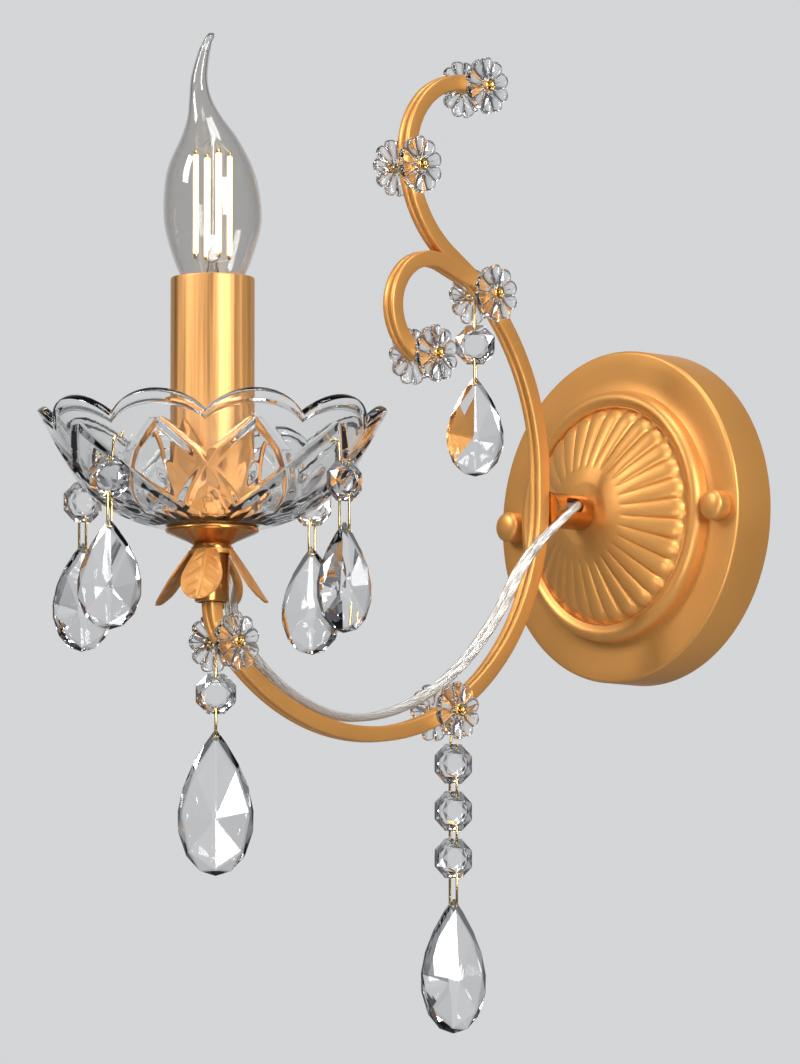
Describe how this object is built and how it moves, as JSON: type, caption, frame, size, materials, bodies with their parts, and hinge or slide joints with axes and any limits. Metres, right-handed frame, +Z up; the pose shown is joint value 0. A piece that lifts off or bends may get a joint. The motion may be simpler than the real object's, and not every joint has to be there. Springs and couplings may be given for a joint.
{
  "type": "wall sconce",
  "caption": "Wall sconce with a round fluted canopy, a scrolled square arm, a candle light in a scalloped glass drip pan, glass rosettes and hanging cut-glass drops.",
  "frame": {"origin": "centre of the wall bar's back face, on the wall plane", "axes": "+Y into the wall along the mounting screws, so -Y points out into the room; +Z up; +X to the right of someone facing the wall"},
  "size_m": [0.1225, 0.2786, 0.3482],
  "materials": {
    "gold_paint": "satin",
    "brushed_gold": "satin",
    "brass_wire": "polished",
    "cut_glass": "polished",
    "clear_glass": "polished",
    "zinc_steel": "satin",
    "white_plastic": "matte",
    "clear_flex": "gloss",
    "bulb_cap_metal": "satin",
    "filament_light": "matte"
  },
  "bodies": {
    "sconce": {"wall_bar": "zinc_steel", "canopy_studs": "zinc_steel", "canopy": "gold_paint", "stub_tube": "gold_paint", "lock_nuts": "zinc_steel", "terminal_block": "white_plastic", "main_arm": "gold_paint", "scroll_curl": "gold_paint", "rosettes_top": "cut_glass", "rosettes_back": "cut_glass", "rosettes_middle": "cut_glass", "rosettes_curl": "cut_glass", "rosettes_scroll": "cut_glass", "rosettes_candle": "cut_glass", "rosette_pins": "brass_wire", "candle_cup": "gold_paint", "lower_leaves": "gold_paint", "drip_pan": "clear_glass", "upper_leaves": "gold_paint", "candle_sleeve": "brushed_gold", "threaded_nipple": "zinc_steel", "lampholder": "white_plastic", "supply_flex": "clear_flex"},
    "bulb": {"bulb_glass": "clear_glass", "bulb_cap": "bulb_cap_metal", "bulb_filaments": "filament_light"},
    "left_cap_nut": {"cap_nut_left": "gold_paint"},
    "right_cap_nut": {"cap_nut_right": "gold_paint"},
    "pan_front_upper": {"pan_front_hook": "brass_wire", "pan_front_bead": "cut_glass"},
    "pan_front_lower": {"pan_front_link": "brass_wire", "pan_front_drop": "cut_glass"},
    "pan_right_upper": {"pan_right_hook": "brass_wire", "pan_right_bead": "cut_glass"},
    "pan_right_lower": {"pan_right_link": "brass_wire", "pan_right_drop": "cut_glass"},
    "pan_back_upper": {"pan_back_hook": "brass_wire", "pan_back_bead": "cut_glass"},
    "pan_back_lower": {"pan_back_link": "brass_wire", "pan_back_drop": "cut_glass"},
    "pan_left_upper": {"pan_left_hook": "brass_wire", "pan_left_bead": "cut_glass"},
    "pan_left_lower": {"pan_left_link": "brass_wire", "pan_left_drop": "cut_glass"},
    "arm_string_upper": {"arm_string_hook": "brass_wire", "arm_string_bead": "cut_glass"},
    "arm_string_lower": {"arm_string_link": "brass_wire", "arm_string_drop": "cut_glass"},
    "cup_string_upper": {"cup_string_hook": "brass_wire", "cup_string_bead": "cut_glass"},
    "cup_string_lower": {"cup_string_link": "brass_wire", "cup_string_drop": "cut_glass"},
    "scroll_string_upper_1": {"scroll_string_hook": "brass_wire", "scroll_string_bead_1": "cut_glass"},
    "scroll_string_upper_2": {"scroll_string_link_1": "brass_wire", "scroll_string_bead_2": "cut_glass"},
    "scroll_string_upper_3": {"scroll_string_link_2": "brass_wire", "scroll_string_bead_3": "cut_glass"},
    "scroll_string_lower": {"scroll_string_link_3": "brass_wire", "scroll_string_drop": "cut_glass"}
  },
  "joints": [
    {"name": "bulb_out", "type": "slide", "parent": "sconce", "child": "bulb", "axis": [0, 0, 1], "range_m": [0, 0.03]},
    {"name": "left_cap_nut_turn", "type": "hinge", "parent": "sconce", "child": "left_cap_nut", "pos_m": [-0.052, -0.0206, 0], "axis": [0, -1, 0], "continuous": true},
    {"name": "right_cap_nut_turn", "type": "hinge", "parent": "sconce", "child": "right_cap_nut", "pos_m": [0.052, -0.0206, 0], "axis": [0, -1, 0], "continuous": true},
    {"name": "pan_front_hook_swing", "type": "hinge", "parent": "sconce", "child": "pan_front_upper", "pos_m": [0.00876, -0.26676, 0.0085], "axis": [0.1685, -0.9857, 0], "range_deg": [-25, 25]},
    {"name": "pan_front_drop_swing", "type": "hinge", "parent": "pan_front_upper", "child": "pan_front_lower", "pos_m": [0.00964, -0.27188, -0.0111], "axis": [0.5592, -0.829, 0], "range_deg": [-25, 25]},
    {"name": "pan_right_hook_swing", "type": "hinge", "parent": "sconce", "child": "pan_right_upper", "pos_m": [0.05126, -0.20674, 0.0085], "axis": [0.9857, 0.1685, 0], "range_deg": [-25, 25]},
    {"name": "pan_right_drop_swing", "type": "hinge", "parent": "pan_right_upper", "child": "pan_right_lower", "pos_m": [0.05638, -0.20586, -0.0111], "axis": [0.9925, -0.1219, 0], "range_deg": [-25, 25]},
    {"name": "pan_back_hook_swing", "type": "hinge", "parent": "sconce", "child": "pan_back_upper", "pos_m": [-0.00876, -0.16424, 0.0085], "axis": [-0.1685, 0.9857, 0], "range_deg": [-25, 25]},
    {"name": "pan_back_drop_swing", "type": "hinge", "parent": "pan_back_upper", "child": "pan_back_lower", "pos_m": [-0.00964, -0.15912, -0.0111], "axis": [-0.4226, 0.9063, 0], "range_deg": [-25, 25]},
    {"name": "pan_left_hook_swing", "type": "hinge", "parent": "sconce", "child": "pan_left_upper", "pos_m": [-0.05126, -0.22426, 0.0085], "axis": [-0.9857, -0.1685, 0], "range_deg": [-25, 25]},
    {"name": "pan_left_drop_swing", "type": "hinge", "parent": "pan_left_upper", "child": "pan_left_lower", "pos_m": [-0.05638, -0.22514, -0.0111], "axis": [-0.9563, 0.2924, 0], "range_deg": [-25, 25]},
    {"name": "arm_string_hook_swing", "type": "hinge", "parent": "sconce", "child": "arm_string_upper", "pos_m": [-0.0042, -0.0846, 0.07447], "axis": [1, 0, 0], "range_deg": [-8, 8]},
    {"name": "arm_string_drop_swing", "type": "hinge", "parent": "arm_string_upper", "child": "arm_string_lower", "pos_m": [-0.0042, -0.0846, 0.05187], "axis": [0.6428, -0.766, 0], "range_deg": [-12, 12]},
    {"name": "cup_string_hook_swing", "type": "hinge", "parent": "sconce", "child": "cup_string_upper", "pos_m": [-0.0042, -0.20971, -0.05808], "axis": [1, 0, 0], "range_deg": [-12, 12]},
    {"name": "cup_string_drop_swing", "type": "hinge", "parent": "cup_string_upper", "child": "cup_string_lower", "pos_m": [-0.0042, -0.20971, -0.08068], "axis": [0.7193, -0.6947, 0], "range_deg": [-20, 20]},
    {"name": "scroll_string_hook_swing", "type": "hinge", "parent": "sconce", "child": "scroll_string_upper_1", "pos_m": [0.0042, -0.10365, -0.07564], "axis": [1, 0, 0], "range_deg": [-15, 15]},
    {"name": "scroll_string_bead_2_swing", "type": "hinge", "parent": "scroll_string_upper_1", "child": "scroll_string_upper_2", "pos_m": [0.0042, -0.10365, -0.09944], "axis": [0.9511, -0.309, 0], "range_deg": [-10, 10]},
    {"name": "scroll_string_bead_3_swing", "type": "hinge", "parent": "scroll_string_upper_2", "child": "scroll_string_upper_3", "pos_m": [0.0042, -0.10365, -0.11614], "axis": [0.9511, -0.309, 0], "range_deg": [-10, 10]},
    {"name": "scroll_string_drop_swing", "type": "hinge", "parent": "scroll_string_upper_3", "child": "scroll_string_lower", "pos_m": [0.0042, -0.10365, -0.13284], "axis": [0.9511, -0.309, 0], "range_deg": [-10, 10]}
  ]
}
